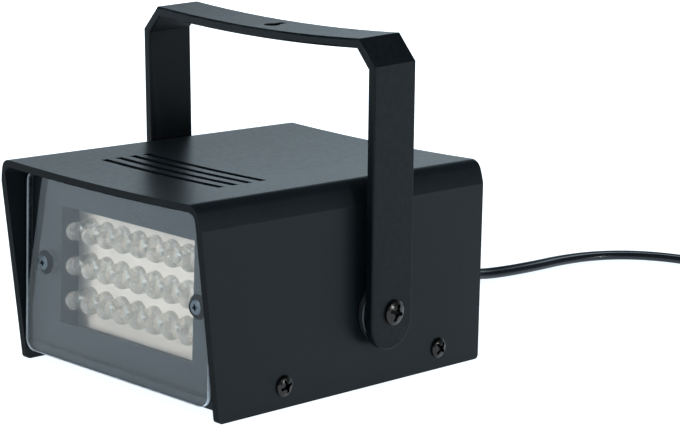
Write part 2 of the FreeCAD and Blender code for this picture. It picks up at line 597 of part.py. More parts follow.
# ================================================================ LED board
nx, nz = 8, 3
led_xz = [(D["led_x0"] + (i - (nx - 1) / 2.0) * D["led_px"], D["led_z"] + (1 - j) * D["led_pz"]) for j in range(nz) for i in range(nx)]
by = D["ledb_y"]
ledb = new_body("led_board")
sk = new_sketch(ledb, "led_board_sketch", "XZ_Plane", "-dims.ledb_y-dims.pcb_t")
rect(sk, "-dims.ledb_half", "dims.ledb_half", "dims.ledb_low", "dims.ledb_high")
pad(ledb, "led_board_pad", sk, "dims.pcb_t")
sk = new_sketch(ledb, "led_hole_sketch", "XZ_Plane", "-dims.ledb_y+1")
for i in range(nx):
    for j in range(nz):
        for side in ("-1.27", "+1.27"):
            circle(sk, "dims.led_x0+%g*dims.led_px%s" % (i - (nx - 1) / 2.0, side), "dims.led_z+%g*dims.led_pz" % (1 - j), "0.45")
for sx in ("-dims.ledb_sx", "dims.ledb_sx"):
    circle(sk, sx, "dims.ledb_s_low", "1.1")
    circle(sk, sx, "dims.ledb_s_high", "1.1")
pocket(ledb, "led_holes", sk, "dims.pcb_t+2")
keep(ledb, "led_board")
place(ledb)

# one lens: flange on the board, barrel, round nose towards -Y
lr, lf, lft, ll = D["led_r"], D["led_flange_r"], D["led_flange_t"], D["led_len"]
prof = Part.Face(Part.Wire([
    Part.LineSegment(V(0, 0, 0), V(lf, 0, 0)).toShape(), Part.LineSegment(V(lf, 0, 0), V(lf, 0, lft)).toShape(),
    Part.LineSegment(V(lf, 0, lft), V(lr, 0, lft)).toShape(), Part.LineSegment(V(lr, 0, lft), V(lr, 0, ll - lr)).toShape(),
    Part.Arc(V(lr, 0, ll - lr), V(lr * q, 0, ll - lr + lr * q), V(0, 0, ll)).toShape(),
    Part.LineSegment(V(0, 0, ll), V(0, 0, 0)).toShape()]))
one_lens = prof.revolve(V(0, 0, 0), V(0, 0, 1), 360)
anode = Part.makeBox(0.5, 0.5, 7.6, V(1.02, -0.25, -3.4))
post = Part.makeBox(0.5, 0.5, 6.6, V(-1.52, -0.25, -3.4))
anvil = Part.makeBox(2.3, 0.9, 1.0, V(-1.72, -0.45, 2.9))
cup = Part.makeCone(0.55, 0.95, 0.9, V(-0.1, 0, 3.6), V(0, 0, 1)).cut(Part.makeCone(0.3, 0.75, 0.6, V(-0.1, 0, 3.92), V(0, 0, 1)))
cathode = post.fuse([anvil, cup]).removeSplitter()
cavity = anode.fuse(cathode)
one_lens = one_lens.cut(anode).cut(cathode)
place(group_of("led_lenses", [at(one_lens, x, by, z, "-y") for x, z in led_xz]))
place(group_of("led_leads", [at(s, x, by, z, "-y") for x, z in led_xz for s in (anode, cathode)]))

# ================================================================ driver board
drv = new_body("driver_board")
sk = new_sketch(drv, "driver_sketch", "XY_Plane", "dims.drv_z")
rect(sk, "-dims.drv_half", "dims.drv_half", "dims.drv_yf", "dims.drv_yr")
pad(drv, "driver_pad", sk, "dims.pcb_t")
sk = new_sketch(drv, "driver_hole_sketch", "XY_Plane", "dims.drv_z+dims.pcb_t+1")
for sx in ("-dims.post_x", "dims.post_x"):
    circle(sk, sx, "dims.post_yf", "1.4")
    circle(sk, sx, "dims.post_yr", "1.4")
pocket(drv, "driver_holes", sk, "dims.pcb_t+2")
keep(drv, "driver_board")
place(drv)

zt = D["drv_z"] + D["pcb_t"]
# mains dropper: boxed film capacitor
b = box("film_box", 18.0, 8.5, 14.5, -22.0, 12.0, zt + 0.4)
leg1 = cyl("film_leg1", 0.4, 1.0, -20.5, 16.2, zt, "z")
leg2 = cyl("film_leg2", 0.4, 1.0, -5.5, 16.2, zt, "z")
place(keep(fuse("film_capacitor_f", [b, leg1, leg2]), "film_capacitor"))
# smoothing capacitor: upright can with a sleeve bead
can = cyl("can_body", 6.5, 20.0, 12.0, 16.0, zt + 0.4, "z")
bead = doc.addObject("Part::Torus", "can_bead")
bead.Radius1, bead.Radius2 = 6.75, 0.6
bead.Placement = FreeCAD.Placement(V(12.0, 16.0, zt + 3.2), FreeCAD.Rotation())
cut_b = cut("can_rolled", can, bead)
l1 = cyl("can_leg1", 0.4, 1.0, 9.5, 16.0, zt, "z")
l2 = cyl("can_leg2", 0.4, 1.0, 14.5, 16.0, zt, "z")
place(keep(fuse("filter_capacitor_f", [cut_b, l1, l2]), "filter_capacitor"))
# bridge rectifier
parts_ = [box("bridge_box", 8.5, 6.4, 3.2, -20.0, -4.0, zt + 1.0)]
for k, (xx, yy) in enumerate(((-19.0, -4.6), (-13.9, -4.6), (-19.0, 2.4), (-13.9, 2.4))):
    parts_.append(box("bridge_leg%d" % k, 1.2, 0.6, 2.6, xx, yy, zt))
    parts_.append(box("bridge_foot%d" % k, 1.2, 0.8, 0.4, xx, -4.6 if yy < 0 else 2.2, zt + 2.2))
place(keep(fuse("bridge_rectifier_f", parts_), "bridge_rectifier"))
# timer chip, eight pins
parts_ = [box("chip_box", 9.6, 6.4, 3.3, -4.0, -4.0, zt + 0.8)]
for k in range(4):
    for yy in (-4.9, 2.6):
        xx = -4.0 + 0.85 + k * 2.54
        parts_.append(box("pin%d_%d" % (k, yy > 0), 0.5, 0.3, 2.6, xx, yy, zt))
        parts_.append(box("pinf%d_%d" % (k, yy > 0), 0.5, 1.2, 0.3, xx, -4.9 if yy < 0 else 1.7, zt + 2.3))
place(keep(fuse("timer_chip_f", parts_), "timer_chip"))
# switching transistor, upright
parts_ = [box("to_body", 7.8, 2.7, 10.8, 11.0, -10.0, zt + 4.0)]
for k in range(3):
    parts_.append(box("to_leg%d" % k, 0.7, 0.5, 4.2, 12.3 + k * 2.25, -8.9, zt))
place(keep(fuse("switching_transistor_f", parts_), "switching_transistor"))
# fuse, small round radial type
f0 = cyl("fuse_can", 4.2, 7.7, -9.5, 27.0, zt + 0.4, "z")
f1 = cyl("fuse_leg1", 0.3, 1.0, -12.0, 27.0, zt, "z")
f2 = cyl("fuse_leg2", 0.3, 1.0, -7.0, 27.0, zt, "z")
place(keep(fuse("fuse_f", [f0, f1, f2]), "fuse"))
# timing capacitor, small radial
c0 = cyl("tc_can", 2.5, 10.5, 9.0, 2.5, zt + 0.4, "z")
c1 = cyl("tc_l1", 0.25, 1.0, 8.0, 2.5, zt, "z")
c2 = cyl("tc_l2", 0.25, 1.0, 10.0, 2.5, zt, "z")
place(keep(fuse("timing_capacitor_f", [c0, c1, c2]), "timing_capacitor"))
# axial resistors with bent legs
res = []
for (xx, yy) in ((-18.0, -10.0), (-18.0, -13.5), (-7.0, -10.5), (15.5, 3.0), (-2.0, 26.0)):
    body_ = Part.makeCylinder(1.15, 6.3, V(xx, yy, zt + 1.5), V(1, 0, 0))
    la = Part.makeBox(0.5, 0.5, 1.75, V(xx - 1.6, yy - 0.25, zt))
    lb = Part.makeBox(0.5, 0.5, 1.75, V(xx + 7.4, yy - 0.25, zt))
    ba = Part.makeBox(1.7, 0.5, 0.5, V(xx - 1.6, yy - 0.25, zt + 1.25))
    bb = Part.makeBox(1.7, 0.5, 0.5, V(xx + 6.2, yy - 0.25, zt + 1.25))
    res.append(body_.fuse([la, lb, ba, bb]).removeSplitter())
place(group_of("resistors", res))

# ================================================================ speed control
pz_, pxx, bk = D["pot_z"], D["pot_x"], D["back_y"]
can = cyl("pot_can", 8.0, 7.0, pxx, bk - 7.0, pz_, "y")
bush = cyl("pot_bush", 3.45, 5.6, pxx, bk, pz_, "y")
lugs = [box("pot_lug%d" % k, 1.6, 0.8, 4.0, pxx - 0.8 + dx, bk - 4.4, pz_ - 11.0) for k, dx in enumerate((-4.0, 0.0, 4.0))]
foot = box("pot_foot", 11.0, 2.0, 6.0, pxx - 5.5, bk - 5.0, pz_ - 9.0)
solid_pot = fuse("pot_solid", [can, bush, foot] + lugs)
bore = cyl("pot_bore", 3.05, 9.2, pxx, bk - 3.5, pz_, "y")
place(keep(cut("speed_pot_f", solid_pot, bore), "speed_pot"))
shaft = cyl("shaft_rod", 3.0, 15.6, pxx, bk - 3.3, pz_, "y")
place(keep(shaft, "pot_shaft"))
w_out = cyl("w_out", 6.0, 0.6, pxx, bk + D["back_t"], pz_, "y")
w_in = cyl("w_in", 3.6, 2.0, pxx, bk + D["back_t"] - 0.5, pz_, "y")
place(keep(cut("pot_washer_f", w_out, w_in), "pot_washer"))
hexo = doc.addObject("Part::Prism", "nut_hex")
hexo.Polygon, hexo.Circumradius, hexo.Height = 6, 5.77, 2.0
hexo.Placement = FreeCAD.Placement(V(pxx, bk + D["back_t"] + 0.6, pz_), AX["y"])
n_in = cyl("nut_in", 3.45, 4.0, pxx, bk + D["back_t"], pz_, "y")
place(keep(cut("pot_nut_f", hexo, n_in), "pot_nut"))
# knob: fluted grip, pointer line
ky = bk + 6.0
knob = Part.makeCylinder(8.0, 10.0, V(0, 0, 0), V(0, 0, 1))
knob = knob.makeFillet(0.7, [e for e in knob.Edges if abs(e.CenterOfMass.z - 10.0) < 1e-6 and e.Length > 20])
for k in range(24):
    a = 2 * math.pi * (k + 0.5) / 24
    knob = knob.cut(Part.makeCylinder(0.55, 8.0, V(8.25 * math.cos(a), 8.25 * math.sin(a), 2.6), V(0, 0, 1)))
knob = knob.cut(Part.makeCylinder(3.0, 6.3, V(0, 0, 0), V(0, 0, 1)))
knob = knob.cut(Part.makeBox(0.9, 6.0, 0.6, V(-0.45, 1.6, 9.5)))
place(group_of("speed_knob", [at(knob, pxx, ky, pz_, "y", 180)]))

# ================================================================ lead entry
lx, lz, lh = D["lead_x"], D["lead_z"], D["lead_hole_r"]
y1 = bk + D["back_t"]
items = [cyl("g_in", 5.2, 1.6, lx, bk - 1.6, lz, "y"), cyl("g_neck", lh - 0.05, D["back_t"] + 0.4, lx, bk - 0.2, lz, "y"),
         cyl("g_flange", 6.2, 2.0, lx, y1, lz, "y"), cyl("g_stub", 3.4, 2.4, lx, bk - 4.0, lz, "y"),
         cone("g_tail", 4.4, 3.1, 22.0, lx, y1 + 2.0, lz, "y")]
grip_f = fuse("cord_grip_solid", items)
rings = []
for k in range(5):
    yy = y1 + 5.0 + k * 3.4
    rr = 4.4 - 1.3 * (yy - y1 - 2.0) / 22.0
    o = cyl("g_ro%d" % k, 6.0, 1.2, lx, yy, lz, "y")
    i_ = cyl("g_ri%d" % k, rr - 0.55, 1.4, lx, yy - 0.1, lz, "y")
    rings.append(cut("g_ring%d" % k, o, i_))
place(keep(cut("cord_grip_f", grip_f, fuse("g_rings", rings)), "cord_grip"))
grip_end = y1 + 24.0

# ================================================================ inner wires
wr = 0.65
wires = []
for xx in (6.0, 9.0):
    s, _ = route([(xx, by + D["pcb_t"], 13.2), (xx, by + 6.0, 13.2), (xx, by + 10.0, 16.0), (xx, D["drv_yf"] + 4.5, 16.0), (xx, D["drv_yf"] + 4.5, zt)],
                 wr, "led wire", False)
    wires.append(s)
place(group_of("led_wires", wires))
wires = []
for dx in (-4.0, 0.0, 4.0):
    s, _ = route([(pxx + dx, bk - 4.0, pz_ - 11.0), (pxx + dx, bk - 4.0, 13.9), (pxx + dx, 31.5, 13.9), (pxx + dx, 31.5, zt)],
                 wr, "pot wire", False)
    wires.append(s)
place(group_of("pot_wires", wires))
wires = []
for dx in (-1.2, 1.2):
    s, _ = route([(lx + dx, bk - 4.0, lz), (lx + dx, 31.0, lz), (lx + dx, 31.0, zt)], wr, "mains wire", False)
    wires.append(s)
place(group_of("mains_wires", wires))

# ================================================================ mains lead
rad = D["lead_w"] / 2.0
cx, cy = D["coil_x"], D["coil_y"]
r_out = D["coil_mid"] / 2.0 + rad
r_in = D["coil_mid"] / 2.0 - rad
LEAD = [(lx, grip_end, lz), (lx, grip_end + 7.8, lz), (lx - 0.6, grip_end + 16.8, 12.9), (lx - 1.8, grip_end + 26.8, 8.2),
        (lx - 3.2, grip_end + 37.3, 3.9), (lx - 3.3, grip_end + 47.8, rad + 0.05), (-17.6, 133.0, rad), (-16.9, 145.5, rad),
        (-17.0, 158.0, rad), (-14.6, 171.0, rad), (-8.6, 181.6, rad), (0.4, 188.6, rad), (11.5, 192.2, rad), (22.5, 194.4, rad),
        (31.5, cy - r_out - 0.3, rad), (cx, cy - r_out, rad)]
cord, cord_len = route(LEAD, rad, "power_cord")
place(keep(feature("power_cord", cord), "power_cord"))
# the put-away length: two turns side by side, three high
rect_face = Part.Face(Part.makePolygon([V(r_in - rad, 0, 0), V(r_out + rad, 0, 0), V(r_out + rad, 0, 6 * rad), V(r_in - rad, 0, 6 * rad), V(r_in - rad, 0, 0)]))
ring = rect_face.revolve(V(0, 0, 0), V(0, 0, 1), 360)
ring = ring.makeFillet(rad * 0.8, ring.Edges)
ring.translate(V(cx, cy, 0))
place(keep(feature("cord_coil", ring), "cord_coil"))
# tail from the top outer turn, round behind the coil, to the plug
exit_deg = 35.0
ae = math.radians(exit_deg)
ph = D["plug_h"] / 2.0
TAIL = [(cx + r_out * math.cos(ae), cy + r_out * math.sin(ae), 5 * rad)]
for turn_deg, run, zz in ((90, 9, 10.8), (101, 9, 9.6), (112, 9, 7.9), (123, 9, ph), (133, 8, ph)):
    hd = math.radians(exit_deg + turn_deg)
    TAIL.append((TAIL[-1][0] + run * math.cos(hd), TAIL[-1][1] + run * math.sin(hd), zz))
tail, tail_len = route(TAIL, rad, "cord_tail")
place(keep(feature("cord_tail", tail), "cord_tail"))
turns = 5 + (math.degrees(ae) + 90.0) / 360.0
print("lead length about %.0f mm" % (cord_len + tail_len + turns * math.pi * D["coil_mid"]))

# plug: flat two-pin body with a waist, local frame: lead enters at the origin, pins towards +Y
pw, pl = D["plug_w"], D["plug_l"]
half = [V(3.6, 0, 0), V(4.6, 9, 0), V(11.0, 15, 0), V(pw / 2 - 0.6, 19.0, 0), V(pw / 2, pl, 0)]
edges = []
full = half + [V(-p.x, p.y, 0) for p in reversed(half)]
plug = Part.Face(Part.makePolygon(full + [full[0]])).extrude(V(0, 0, D["plug_h"]))
plug.translate(V(0, 0, -D["plug_h"] / 2))
side_keep = Part.Face(Part.makePolygon([V(0, 0, -3.4), V(0, 10, -4.2), V(0, 16, -D["plug_h"] / 2), V(0, pl, -D["plug_h"] / 2),
                                        V(0, pl, D["plug_h"] / 2), V(0, 16, D["plug_h"] / 2), V(0, 10, 4.2), V(0, 0, 3.4), V(0, 0, -3.4)]))
side_keep = side_keep.extrude(V(pw + 10, 0, 0))
side_keep.translate(V(-pw / 2 - 5, 0, 0))
plug = plug.common(side_keep)
for soft in (1.5, 1.0, 0.6):
    try:
        p2 = plug.makeFillet(soft, [e for e in plug.Edges if e.CenterOfMass.y > 9.5 and e.CenterOfMass.y < pl - 0.1])
    except Exception:
        continue
    if p2.isValid() and p2.Volume > 0.8 * plug.Volume:
        plug = p2
        print("plug edges rounded", soft)
        break
pins = []
for sx in (1, -1):
    pin = Part.makeCylinder(D["pin_r"], D["pin_l"], V(sx * D["pin_gap"] / 2, pl, 0), V(0, 1, 0))
    pin = pin.makeFillet(0.9, [e for e in pin.Edges if abs(e.CenterOfMass.y - pl - D["pin_l"]) < 1e-5 and e.Length > 5])
    pins.append(pin)
end = TAIL[-1]
head = V(TAIL[-1][0] - TAIL[-2][0], TAIL[-1][1] - TAIL[-2][1], 0).normalize()
ang = math.degrees(math.atan2(-head.x, head.y))
pp = FreeCAD.Placement(V(end[0], end[1], ph), FreeCAD.Rotation(V(0, 0, 1), ang))
for s in [plug] + pins:
    s.Placement = pp.multiply(s.Placement)
place(keep(feature("plug_body", plug), "plug_body"))
place(group_of("plug_pins", pins))
print("plug at", [round(v, 3) for v in end], "angle", round(ang, 3))
print("lead points", [[round(c, 2) for c in p] for p in LEAD])
print("tail points", [[round(c, 2) for c in p] for p in TAIL])

# ================================================================ check and export
doc.recompute()
bad = []
for o in doc.Objects:
    if any(s in ("Invalid", "Error") for s in o.State):
        bad.append((o.Name, o.State))
    shp = getattr(o, "Shape", None)
    if shp is not None and not o.isDerivedFrom("Sketcher::SketchObject") and (shp.isNull() or not shp.isValid()):
        if o.isDerivedFrom("App::OriginFeature") or o.isDerivedFrom("App::Origin"):
            continue
        bad.append((o.Name, "shape"))
if bad:
    raise RuntimeError("bad objects: %s" % bad)
box_all = FreeCAD.BoundBox()
CORD = ("power_cord", "cord_coil", "cord_tail", "plug_body", "plug_pins", "cord_grip")
for label, o in NODES.items():
    o.Shape.exportStep("parts/%s.step" % label)
    if label not in CORD:
        box_all.add(o.Shape.BoundBox)
print("nodes", len(NODES), "box without lead", box_all)
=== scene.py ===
import bpy
import bmesh
import math
from mathutils import Vector, Matrix


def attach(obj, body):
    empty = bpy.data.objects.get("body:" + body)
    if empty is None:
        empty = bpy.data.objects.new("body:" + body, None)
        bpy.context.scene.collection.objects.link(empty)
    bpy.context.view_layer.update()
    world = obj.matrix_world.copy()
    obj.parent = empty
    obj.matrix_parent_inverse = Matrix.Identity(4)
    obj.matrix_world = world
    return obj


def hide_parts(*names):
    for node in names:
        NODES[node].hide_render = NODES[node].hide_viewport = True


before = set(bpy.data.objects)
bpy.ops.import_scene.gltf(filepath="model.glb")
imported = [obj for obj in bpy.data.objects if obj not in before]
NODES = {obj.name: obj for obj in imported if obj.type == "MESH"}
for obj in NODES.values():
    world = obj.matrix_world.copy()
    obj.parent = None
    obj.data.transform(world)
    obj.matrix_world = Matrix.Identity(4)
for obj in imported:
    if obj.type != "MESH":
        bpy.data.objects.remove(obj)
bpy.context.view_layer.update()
SY = -0.0067                       # the case's own centre line, in the row frame


# ------------------------------------------------------------------ materials
def new_mat(name):
    m = bpy.data.materials.new(name)
    m.use_nodes = True
    nt = m.node_tree
    nt.nodes.clear()
    out = nt.nodes.new("ShaderNodeOutputMaterial")
    p = nt.nodes.new("ShaderNodeBsdfPrincipled")
    nt.links.new(p.outputs["BSDF"], out.inputs["Surface"])
    return m, nt, p, out


def node(nt, kind, **values):
    n = nt.nodes.new(kind)
    for k, v in values.items():
        if k in n.inputs:
            n.inputs[k].default_value = v
        else:
            setattr(n, k, v)
    return n


def coords(nt):
    return nt.nodes.new("ShaderNodeTexCoord").outputs["Object"]


def noise(nt, vec, scale, detail=3.0, rough=0.55, lac=2.0):
    n = node(nt, "ShaderNodeTexNoise", Scale=scale, Detail=detail, Roughness=rough, Lacunarity=lac)
    nt.links.new(vec, n.inputs["Vector"])
    return n.outputs["Fac"]


def remap(nt, fac, a, b, c, d):
    n = node(nt, "ShaderNodeMapRange")
    for k, v in zip(("From Min", "From Max", "To Min", "To Max"), (a, b, c, d)):
        n.inputs[k].default_value = v
    nt.links.new(fac, n.inputs["Value"])
    return n.outputs["Result"]


def ramp(nt, fac, stops):
    n = nt.nodes.new("ShaderNodeValToRGB")
    el = n.color_ramp.elements
    while len(el) > 1:
        el.remove(el[-1])
    el[0].position, el[0].color = stops[0][0], (*stops[0][1], 1)
    for pos, col in stops[1:]:
        e = el.new(pos)
        e.color = (*col, 1)
    nt.links.new(fac, n.inputs["Fac"])
    return n.outputs["Color"]


def mix_rgb(nt, fac, a, b):
    n = nt.nodes.new("ShaderNodeMix")
    n.data_type = "RGBA"
    for sock, val in ((n.inputs[0], fac), (n.inputs[6], a), (n.inputs[7], b)):
        if hasattr(val, "is_output"):
            nt.links.new(val, sock)
        elif isinstance(val, (tuple, list)):
            sock.default_value = (*val, 1)
        else:
            sock.default_value = val
    return n.outputs[2]


def bump(nt, p, heights, strength=0.3, distance=0.0001):
    """heights: list of (fac, weight) added together"""
    total = None
    for fac, weight in heights:
        mul = node(nt, "ShaderNodeMath", operation="MULTIPLY")
        nt.links.new(fac, mul.inputs[0])
        mul.inputs[1].default_value = weight
        if total is None:
            total = mul.outputs[0]
        else:
            add = node(nt, "ShaderNodeMath", operation="ADD")
            nt.links.new(total, add.inputs[0])
            nt.links.new(mul.outputs[0], add.inputs[1])
            total = add.outputs[0]
    b = node(nt, "ShaderNodeBump", Strength=strength, Distance=distance)
    nt.links.new(total, b.inputs["Height"])
    nt.links.new(b.outputs["Normal"], p.inputs["Normal"])
    return b


def edge_mask(nt, lo=0.505, hi=0.56):
    g = nt.nodes.new("ShaderNodeNewGeometry")
    return remap(nt, g.outputs["Pointiness"], lo, hi, 0.0, 1.0)


def moulded(name, dark, light, rough=0.42, grain=0.35, spec=0.42, edge_wear_and_highlight=0.35, fleck=0.0):
    """satin moulded plastic: fine spark-eroded grain, faint flow clouds, edges painted a little brighter, partly as
    rubbed wear and partly as a painted highlight
    """
    m, nt, p, _ = new_mat(name)
    v = coords(nt)
    clouds = noise(nt, v, 38.0, 4.0)
    fine = noise(nt, v, 2600.0, 2.0)
    mid = noise(nt, v, 620.0, 3.0)
    col = ramp(nt, clouds, [(0.30, dark), (0.72, light)])
    # sharp edges painted paler: partly rubbed wear, partly a painted edge highlight
    edge_wear_and_highlight_mix = node(nt, "ShaderNodeMath", operation="MULTIPLY")
    nt.links.new(edge_mask(nt), edge_wear_and_highlight_mix.inputs[0])
    nt.links.new(remap(nt, mid, 0.35, 0.7, 0.25 * edge_wear_and_highlight, edge_wear_and_highlight), edge_wear_and_highlight_mix.inputs[1])
    pale = tuple(min(1.0, c * 2.4 + 0.012) for c in light)
    col = mix_rgb(nt, edge_wear_and_highlight_mix.outputs[0], col, pale)
    if fleck:
        specks = node(nt, "ShaderNodeTexVoronoi", Scale=900.0)
        nt.links.new(v, specks.inputs["Vector"])
        dots = remap(nt, specks.outputs["Distance"], 0.03, 0.06, fleck, 0.0)
        col = mix_rgb(nt, dots, col, (0.16, 0.17, 0.18))
    nt.links.new(col, p.inputs["Base Color"])
    nt.links.new(remap(nt, mid, 0.3, 0.75, rough - 0.02, rough + 0.03), p.inputs["Roughness"])
    p.inputs["Specular IOR Level"].default_value = spec
    p.inputs["Specular Tint"].default_value = (0.86, 0.96, 1.0, 1)
    bump(nt, p, [(fine, grain), (mid, grain * 0.15), (clouds, 0.1)], 0.2, 0.00006)
    return m


def metal(name, base, rough=0.3, streak=0.0, tint=(0.6, 0.6, 0.6), metallic=1.0, scale=900.0):
    m, nt, p, _ = new_mat(name)
    v = coords(nt)
    a = noise(nt, v, scale, 3.0)
    b = noise(nt, v, 120.0, 3.0)
    col = ramp(nt, b, [(0.3, tuple(c * 0.8 for c in base)), (0.7, base)])
    nt.links.new(col, p.inputs["Base Color"])
    p.inputs["Metallic"].default_value = metallic
    nt.links.new(remap(nt, a, 0.3, 0.7, rough * 0.8, rough * 1.3), p.inputs["Roughness"])
    bump(nt, p, [(a, 1.0)], 0.12, 0.00003)
    return m


def board(name, base, dark, rough=0.5, spec=0.5):
    m, nt, p, _ = new_mat(name)
    v = coords(nt)
    a = noise(nt, v, 60.0, 4.0)
    w = noise(nt, v, 1800.0, 2.0)
    nt.links.new(ramp(nt, a, [(0.3, dark), (0.7, base)]), p.inputs["Base Color"])
    nt.links.new(remap(nt, w, 0.3, 0.7, rough - 0.06, rough + 0.08), p.inputs["Roughness"])
    p.inputs["Specular IOR Level"].default_value = spec
    bump(nt, p, [(w, 0.5), (a, 0.5)], 0.12, 0.00004)
    return m


ABS_TOP = moulded("abs_cover", (0.0040, 0.0063, 0.0080), (0.0052, 0.0080, 0.0100), rough=0.35, spec=0.132, edge_wear_and_highlight=0.07)
# a darker, less glossy copy of the cover plastic: painted shade for the front faces of the wings and visor
ABS_FRONT_PAINTED_SHADE = moulded("abs_front_painted_shade", (0.0028, 0.0042, 0.0054), (0.0038, 0.0056, 0.0072), rough=0.44, spec=0.05, edge_wear_and_highlight=0.07)
ABS_TRAY = moulded("abs_tray", (0.0050, 0.0080, 0.0108), (0.0064, 0.0098, 0.0130), rough=0.46, spec=0.17, edge_wear_and_highlight=0.1, grain=0.04)
ABS_BOW = moulded("abs_bow", (0.0024, 0.0038, 0.0050), (0.0032, 0.0050, 0.0066), rough=0.36, spec=0.10, edge_wear_and_highlight=0.3)
KNOB = moulded("abs_knob", (0.008, 0.009, 0.010), (0.012, 0.013, 0.015), rough=0.5, spec=0.4)
NYLON = moulded("nylon_spacer", (0.013, 0.015, 0.017), (0.018, 0.021, 0.023), rough=0.30, spec=0.6)
PVC = moulded("pvc_flex", (0.0062, 0.0090, 0.0120), (0.0088, 0.0122, 0.0158), rough=0.25, spec=0.40, grain=0.1, edge_wear_and_highlight=0.0)
PVC_PLUG = moulded("pvc_plug", (0.009, 0.010, 0.012), (0.014, 0.016, 0.018), rough=0.42, spec=0.45)
SCREW = metal("black_oxide", (0.040, 0.039, 0.038), rough=0.23)
# near-black, matt copy of the cover plastic: painted shade on the vent slots' walls
SLOT_WALL_PAINTED_SHADE = moulded("abs_slot_wall_painted_shade", (0.0012, 0.0018, 0.0022), (0.0018, 0.0026, 0.0032), rough=0.75, spec=0.03, edge_wear_and_highlight=0.0)
PLATE_SCREW = metal("blued_zinc", (0.11, 0.135, 0.155), rough=0.36)
# near-black metal: painted shade in the screws' cross recesses
RECESS_PAINTED_SHADE = metal("black_oxide_recess_painted_shade", (0.006, 0.006, 0.007), rough=0.5)
ZINC = metal("zinc_plate", (0.62, 0.62, 0.60), rough=0.3)
TIN = metal("tinned_wire", (0.72, 0.72, 0.70), rough=0.22)
NICKEL = metal("nickel_pin", (0.75, 0.73, 0.68), rough=0.2)
CAN = metal("pot_can", (0.55, 0.55, 0.54), rough=0.35)
WHITE_PCB = board("white_mask", (0.655, 0.605, 0.55), (0.60, 0.555, 0.505), rough=0.42)
TAN_PCB = board("phenolic", (0.42, 0.28, 0.12), (0.30, 0.19, 0.08), rough=0.55)
RED_BOX = board("red_box", (0.50, 0.03, 0.025), (0.36, 0.02, 0.02), rough=0.3)
SLEEVE = board("can_sleeve", (0.02, 0.03, 0.10), (0.012, 0.018, 0.06), rough=0.25)
EPOXY = board("black_epoxy", (0.016, 0.016, 0.017), (0.010, 0.010, 0.011), rough=0.5)
COAT = board("resistor_coat", (0.60, 0.45, 0.26), (0.48, 0.34, 0.18), rough=0.4)
WIRE_R = board("wire_red", (0.45, 0.02, 0.015), (0.33, 0.015, 0.012), rough=0.35)
WIRE_W = board("wire_white", (0.75, 0.75, 0.72), (0.62, 0.62, 0.60), rough=0.35)
WIRE_B = board("wire_blue", (0.03, 0.09, 0.42), (0.02, 0.06, 0.30), rough=0.35)
SHAFT = board("shaft_nylon", (0.7, 0.7, 0.66), (0.58, 0.58, 0.55), rough=0.4)


def clear(name, tint, ior=1.49, rough=0.02, coat=0.0, film=0.06):
    """clear plastic that lets lamp light through to what is behind it"""
    m, nt, p, out = new_mat(name)
    v = coords(nt)
    a = noise(nt, v, 260.0, 3.0)
    p.inputs["Base Color"].default_value = (*tint, 1)
    p.inputs["Transmission Weight"].default_value = 1.0
    p.inputs["IOR"].default_value = ior
    p.inputs["Specular Tint"].default_value = (0.80, 0.95, 1.0, 1)
    nt.links.new(remap(nt, a, 0.3, 0.7, rough * 0.6, rough * 1.5), p.inputs["Roughness"])
    tr = nt.nodes.new("ShaderNodeBsdfTransparent")
    tr.inputs["Color"].default_value = (*(0.5 + 0.5 * c for c in tint), 1)
    lp = nt.nodes.new("ShaderNodeLightPath")
    mx = nt.nodes.new("ShaderNodeMixShader")
    nt.links.new(lp.outputs["Is Shadow Ray"], mx.inputs[0])
    nt.links.new(p.outputs["BSDF"], mx.inputs[1])
    nt.links.new(tr.outputs["BSDF"], mx.inputs[2])
    nt.links.new(mx.outputs[0], out.inputs["Surface"])
    bump(nt, p, [(a, 1.0)], 0.008, 0.00004)
    return m


ACRYLIC = clear("clear_acrylic", (0.93, 0.955, 0.97), ior=1.385, rough=0.015)


def epoxy(name):
    """water-clear LED epoxy, a little milky, lit through by the board behind it"""
    m, nt, p, out = new_mat(name)
    v = coords(nt)
    a = noise(nt, v, 420.0, 3.0)
    nt.links.new(ramp(nt, a, [(0.3, (0.985, 0.95, 0.90)), (0.7, (1.0, 0.97, 0.925))]), p.inputs["Base Color"])
    p.inputs["Transmission Weight"].default_value = 0.96
    p.inputs["IOR"].default_value = 1.50
    nt.links.new(remap(nt, a, 0.3, 0.7, 0.0, 0.012), p.inputs["Roughness"])
    tr = nt.nodes.new("ShaderNodeBsdfTransparent")
    tr.inputs["Color"].default_value = (0.97, 0.965, 0.945, 1)
    lp = nt.nodes.new("ShaderNodeLightPath")
    share = remap(nt, lp.outputs["Is Shadow Ray"], 0.0, 1.0, 0.27, 0.93)
    mx = nt.nodes.new("ShaderNodeMixShader")
    nt.links.new(share, mx.inputs[0])
    nt.links.new(p.outputs["BSDF"], mx.inputs[1])
    nt.links.new(tr.outputs["BSDF"], mx.inputs[2])
    nt.links.new(mx.outputs[0], out.inputs["Surface"])
    bump(nt, p, [(a, 1.0)], 0.02, 0.00003)
    return m


LED_CLEAR = epoxy("led_epoxy")


